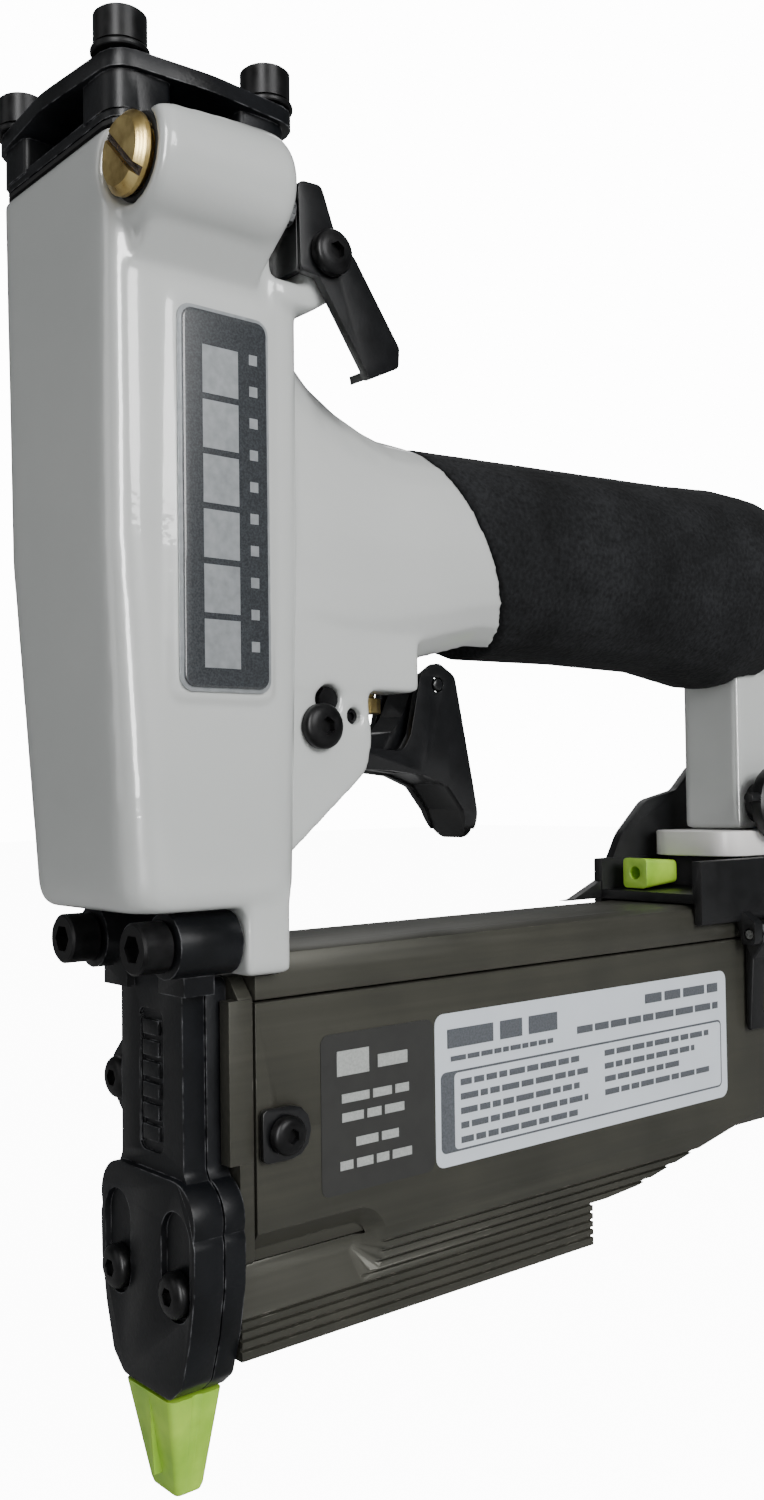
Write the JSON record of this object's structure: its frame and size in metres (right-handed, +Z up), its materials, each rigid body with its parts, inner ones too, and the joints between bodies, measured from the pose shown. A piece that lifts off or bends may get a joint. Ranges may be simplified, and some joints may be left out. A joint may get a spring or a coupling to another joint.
{
  "type": "pneumatic pin nailer",
  "caption": "Compressed-air pin nailer with an upright barrel, rubber-sleeved handle, slanted magazine with sliding cover, trigger, air duster and soft nose tip.",
  "frame": {"origin": "centre of the no-mar tip's bottom face, where the pins leave", "axes": "+X towards the back of the handle, +Y to the tool's right, +Z up along the barrel; pins leave along -Z"},
  "size_m": [0.2435, 0.0532, 0.2289],
  "materials": {
    "enamel": "glossy light grey enamel",
    "black_casting": "satin black coating",
    "black_steel": "black oxide",
    "black_plastic": "satin moulded nylon",
    "grip_rubber": "matte fine-grained rubber",
    "seal_rubber": "smooth nitrile",
    "olive_anodised": "dark olive-grey anodised",
    "bare_aluminium": "turned",
    "steel": "bright",
    "brass": "turned",
    "green_urethane": "satin",
    "ivory_plastic": "satin",
    "amber_urethane": "smooth",
    "badge_plate": "domed clear resin over dark grey"
  },
  "bodies": {
    "tool": {"air_plug": "steel", "badge": "badge_plate", "bumper": "amber_urethane", "cap_gasket": "seal_rubber", "cap_screw_1": "black_steel", "cap_screw_2": "black_steel", "cap_screw_3": "black_steel", "cap_screw_4": "black_steel", "cylinder": "bare_aluminium", "duster_lever_screw": "black_steel", "duster_nozzle": "brass", "duster_seal": "seal_rubber", "end_cap": "black_casting", "foot_screw_left": "black_steel", "foot_screw_right": "black_steel", "grip_sleeve": "grip_rubber", "head_valve_spring": "steel", "hook_hub": "black_plastic", "housing": "enamel", "hub_screw": "black_steel", "latch_pin": "steel", "leg_foot": "ivory_plastic", "lug_screw": "black_steel", "magazine_front_plate": "olive_anodised", "magazine_rail": "olive_anodised", "magazine_rear_stop": "olive_anodised", "no_mar_tip": "green_urethane", "nose_bolt_left": "black_steel", "nose_bolt_right": "black_steel", "nose_front_plate": "black_casting", "nose_rear_plate": "black_casting", "nose_screw_left": "black_steel", "nose_screw_right": "black_steel", "pin_strip": "steel", "rear_saddle": "black_plastic", "spare_tip": "green_urethane", "top_cap": "black_casting", "trigger_pin": "steel", "trigger_pin_screw": "black_steel", "trigger_valve_body": "brass", "trigger_valve_spring": "steel"},
    "driver": {"piston": "steel", "piston_seal": "seal_rubber", "driver_blade": "steel"},
    "head_valve": {"head_valve": "black_plastic"},
    "trigger": {"trigger": "black_steel", "lever_rivet": "black_steel", "valve_lever": "steel"},
    "valve_stem": {"trigger_valve_stem": "steel"},
    "duster_lever": {"duster_lever": "black_steel"},
    "duster_plunger": {"duster_plunger": "steel"},
    "magazine_cover": {"magazine_cover": "olive_anodised", "cover_bracket": "black_steel", "cover_bracket_screw": "black_steel"},
    "pusher": {"pusher": "steel", "pusher_spring_roll": "steel"},
    "magazine_latch": {"magazine_latch": "black_plastic"}
  },
  "joints": [
    {"name": "driver_slide", "type": "slide", "parent": "tool", "child": "driver", "axis": [0, 0, -1], "range_m": [0, 0.076]},
    {"name": "head_valve_slide", "type": "slide", "parent": "tool", "child": "head_valve", "axis": [0, 0, 1], "range_m": [0, 0.003], "stiffness_N_per_m": 300, "springref_m": -0.003, "deforming": ["head_valve_spring"]},
    {"name": "trigger_hinge", "type": "hinge", "parent": "tool", "child": "trigger", "pos_m": [0.024, 0, 0.1279], "axis": [0, -1, 0], "range_deg": [0, 8], "stiffness_Nm_per_rad": 0.8, "springref_deg": -5.73},
    {"name": "valve_stem_slide", "type": "slide", "parent": "tool", "child": "valve_stem", "axis": [0, 0, 1], "range_m": [0, 0.0018], "deforming": ["trigger_valve_spring"]},
    {"name": "duster_lever_hinge", "type": "hinge", "parent": "tool", "child": "duster_lever", "pos_m": [0.0166, -0.0215, 0.1992], "axis": [0, -1, 0], "range_deg": [0, 5], "stiffness_Nm_per_rad": 0.3, "springref_deg": -5.73},
    {"name": "duster_plunger_slide", "type": "slide", "parent": "tool", "child": "duster_plunger", "axis": [-1, 0, 0], "range_m": [0, 0.0005]},
    {"name": "cover_slide", "type": "slide", "parent": "tool", "child": "magazine_cover", "axis": [1, 0, 0], "range_m": [0, 0.09]},
    {"name": "pusher_slide", "type": "slide", "parent": "tool", "child": "pusher", "axis": [1, 0, 0], "range_m": [0, 0.085], "stiffness_N_per_m": 40, "springref_m": -0.02},
    {"name": "latch_hinge", "type": "hinge", "parent": "tool", "child": "magazine_latch", "pos_m": [0.152, -0.0166, 0.0796], "axis": [-1, 0, 0], "range_deg": [0, 12], "stiffness_Nm_per_rad": 0.2, "springref_deg": -11.46}
  ],
  "couplings": [
    {"joint": "valve_stem_slide", "follows": "trigger_hinge", "m_per_rad": 0.0128},
    {"joint": "duster_plunger_slide", "follows": "duster_lever_hinge", "m_per_rad": 0.0057}
  ]
}
